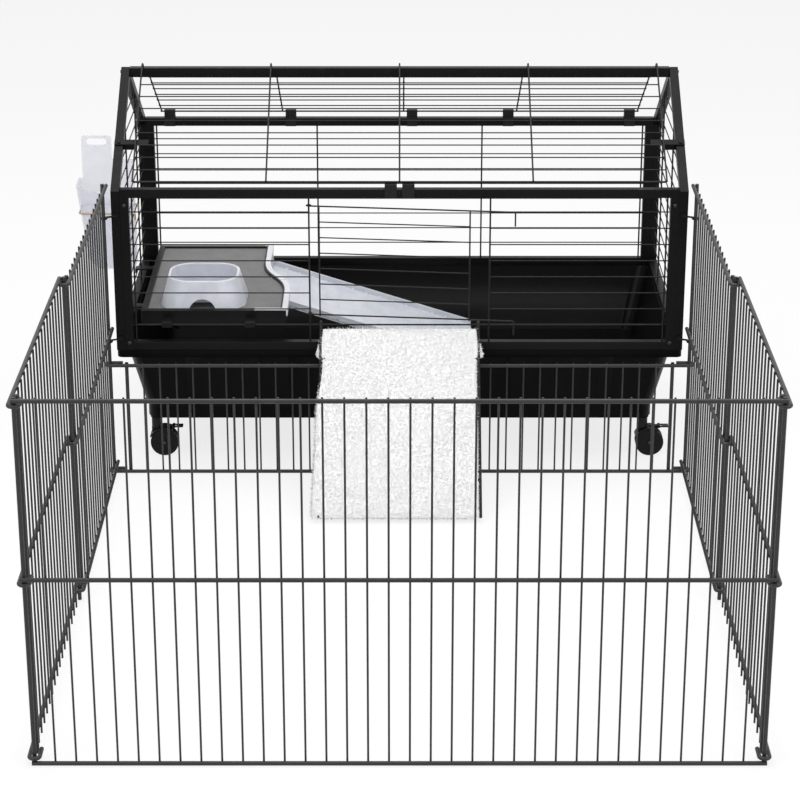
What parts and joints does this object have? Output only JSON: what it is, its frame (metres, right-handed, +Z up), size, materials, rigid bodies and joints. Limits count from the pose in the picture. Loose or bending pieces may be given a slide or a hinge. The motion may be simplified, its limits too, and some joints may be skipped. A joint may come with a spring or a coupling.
{
  "type": "small animal cage",
  "caption": "Gabled wire cage for small pets on a deep wheeled tray, with roof lid, door, plush ramp, inner platform and ramp, feeder and folding wire playpen.",
  "frame": {"origin": "middle of the whole footprint, cage and playpen, on the floor", "axes": "+X to the viewer's right along the cage, +Y from the playpen back to the cage, +Z up"},
  "size_m": [1.321, 1.8587, 0.8075],
  "materials": {
    "tube": "black powder coat, satin",
    "wire": "black coated wire",
    "pen_wire": "charcoal coated wire",
    "screw": "blackened steel",
    "clip": "black moulded",
    "tray": "black moulded, semi-gloss",
    "caster": "black moulded",
    "wheel": "dark tread",
    "axle": "plain",
    "deck": "grey, grained",
    "frosted": "frosted, translucent",
    "plush": "white plush",
    "bronze_wire": "tan coated wire"
  },
  "bodies": {
    "cage": {"side_frame_left": "tube", "side_base_rail_left": "tube", "side_frame_right": "tube", "side_base_rail_right": "tube", "front_frame": "tube", "front_base_rail": "tube", "rear_frame": "tube", "rear_base_rail": "tube", "ridge_beam": "tube", "frame_screws": "screw", "front_grille_left": "wire", "front_grille_right": "wire", "front_sill_wire": "wire", "rear_grille": "wire", "side_grille_left": "wire", "side_grille_right": "wire", "rear_roof_grille": "wire", "rear_eave_clips": "clip", "lid_catch_clips": "clip", "lid_rest_left": "tube", "lid_rest_right": "tube", "tray": "tray", "platform": "deck", "pen_low_panel": "pen_wire", "pen_eyes": "pen_wire"},
    "lid": {"roof_lid": "wire"},
    "door": {"door": "wire"},
    "ramp": {"ramp_frame": "wire", "ramp_cover": "plush"},
    "inner_ramp": {"inner_ramp": "frosted"},
    "bowl": {"bowl": "frosted"},
    "hay_feeder": {"hay_hopper": "frosted", "hay_hanger": "bronze_wire"},
    "pen_left_far": {"pen_left_far": "pen_wire"},
    "pen_left_near": {"pen_left_near": "pen_wire"},
    "pen_front": {"pen_front_panel": "pen_wire"},
    "pen_right_far": {"pen_right_far": "pen_wire"},
    "pen_right_near": {"pen_right_near": "pen_wire"},
    "caster_front_left": {"caster_yoke_front_left": "caster", "caster_axle_front_left": "axle"},
    "wheels_front_left": {"caster_wheels_front_left": "wheel"},
    "pedal_front_left": {"caster_pedal_front_left": "caster"},
    "caster_front_right": {"caster_yoke_front_right": "caster", "caster_axle_front_right": "axle"},
    "wheels_front_right": {"caster_wheels_front_right": "wheel"},
    "pedal_front_right": {"caster_pedal_front_right": "caster"},
    "caster_rear_left": {"caster_yoke_rear_left": "caster", "caster_axle_rear_left": "axle"},
    "wheels_rear_left": {"caster_wheels_rear_left": "wheel"},
    "caster_rear_right": {"caster_yoke_rear_right": "caster", "caster_axle_rear_right": "axle"},
    "wheels_rear_right": {"caster_wheels_rear_right": "wheel"}
  },
  "joints": [
    {"name": "lid_hinge", "type": "hinge", "parent": "cage", "child": "lid", "pos_m": [0.04453, 0.63485, 0.789], "axis": [-1, 0, 0], "range_deg": [0, 110]},
    {"name": "door_hinge", "type": "hinge", "parent": "cage", "child": "door", "pos_m": [-0.14147, 0.3487, 0.346], "axis": [0, 0, -1], "range_deg": [-5, 95]},
    {"name": "ramp_hinge", "type": "hinge", "parent": "cage", "child": "ramp", "pos_m": [0.04453, 0.35235, 0.32], "axis": [-1, 0, 0], "range_deg": [0, 40]},
    {"name": "inner_ramp_lift", "type": "slide", "parent": "cage", "child": "inner_ramp", "axis": [0, 0, 1], "range_m": [0, 0.06]},
    {"name": "bowl_lift", "type": "slide", "parent": "cage", "child": "bowl", "axis": [0, 0, 1], "range_m": [0, 0.12]},
    {"name": "hay_feeder_lift", "type": "slide", "parent": "cage", "child": "hay_feeder", "axis": [0, 0, 1], "range_m": [0, 0.018]},
    {"name": "swivel_front_left", "type": "hinge", "parent": "cage", "child": "caster_front_left", "pos_m": [-0.47647, 0.42685, 0.086], "axis": [0, 0, 1], "continuous": true},
    {"name": "roll_front_left", "type": "hinge", "parent": "caster_front_left", "child": "wheels_front_left", "pos_m": [-0.46048, 0.42685, 0.03], "axis": [0, 1, 0], "continuous": true},
    {"name": "press_front_left", "type": "hinge", "parent": "caster_front_left", "child": "pedal_front_left", "pos_m": [-0.44057, 0.42685, 0.0638], "axis": [0, 1, 0], "range_deg": [0, 15]},
    {"name": "swivel_front_right", "type": "hinge", "parent": "cage", "child": "caster_front_right", "pos_m": [0.56553, 0.42685, 0.086], "axis": [0, 0, 1], "continuous": true},
    {"name": "roll_front_right", "type": "hinge", "parent": "caster_front_right", "child": "wheels_front_right", "pos_m": [0.58152, 0.42685, 0.03], "axis": [0, 1, 0], "continuous": true},
    {"name": "press_front_right", "type": "hinge", "parent": "caster_front_right", "child": "pedal_front_right", "pos_m": [0.60142, 0.42685, 0.0638], "axis": [0, 1, 0], "range_deg": [0, 15]},
    {"name": "swivel_rear_left", "type": "hinge", "parent": "cage", "child": "caster_rear_left", "pos_m": [-0.47647, 0.84285, 0.086], "axis": [0, 0, 1], "continuous": true},
    {"name": "roll_rear_left", "type": "hinge", "parent": "caster_rear_left", "child": "wheels_rear_left", "pos_m": [-0.46048, 0.84285, 0.03], "axis": [0, 1, 0], "continuous": true},
    {"name": "swivel_rear_right", "type": "hinge", "parent": "cage", "child": "caster_rear_right", "pos_m": [0.56553, 0.84285, 0.086], "axis": [0, 0, 1], "continuous": true},
    {"name": "roll_rear_right", "type": "hinge", "parent": "caster_rear_right", "child": "wheels_rear_right", "pos_m": [0.58152, 0.84285, 0.03], "axis": [0, 1, 0], "continuous": true},
    {"name": "pen_fold", "type": "hinge", "parent": "cage", "child": "pen_left_far", "pos_m": [-0.55922, 0.32485, 0.325], "axis": [0, 0, -1], "range_deg": [0, 60]},
    {"name": "pen_fold_left_near", "type": "hinge", "parent": "pen_left_far", "child": "pen_left_near", "pos_m": [-0.55922, -0.29615, 0.325], "axis": [0, 0, 1], "range_deg": [0, 120]},
    {"name": "pen_fold_front", "type": "hinge", "parent": "pen_left_near", "child": "pen_front", "pos_m": [-0.55922, -0.91715, 0.325], "axis": [0, 0, -1], "range_deg": [0, 60]},
    {"name": "pen_fold_right_far", "type": "hinge", "parent": "cage", "child": "pen_right_far", "pos_m": [0.64828, 0.32485, 0.325], "axis": [0, 0, 1], "range_deg": [0, 60]},
    {"name": "pen_fold_right_near", "type": "hinge", "parent": "pen_right_far", "child": "pen_right_near", "pos_m": [0.64828, -0.29615, 0.325], "axis": [0, 0, -1], "range_deg": [0, 120]}
  ],
  "couplings": [
    {"joint": "pen_fold_left_near", "follows": "pen_fold", "ratio": 2},
    {"joint": "pen_fold_front", "follows": "pen_fold", "ratio": 1},
    {"joint": "pen_fold_right_far", "follows": "pen_fold", "ratio": 1},
    {"joint": "pen_fold_right_near", "follows": "pen_fold", "ratio": 2}
  ]
}
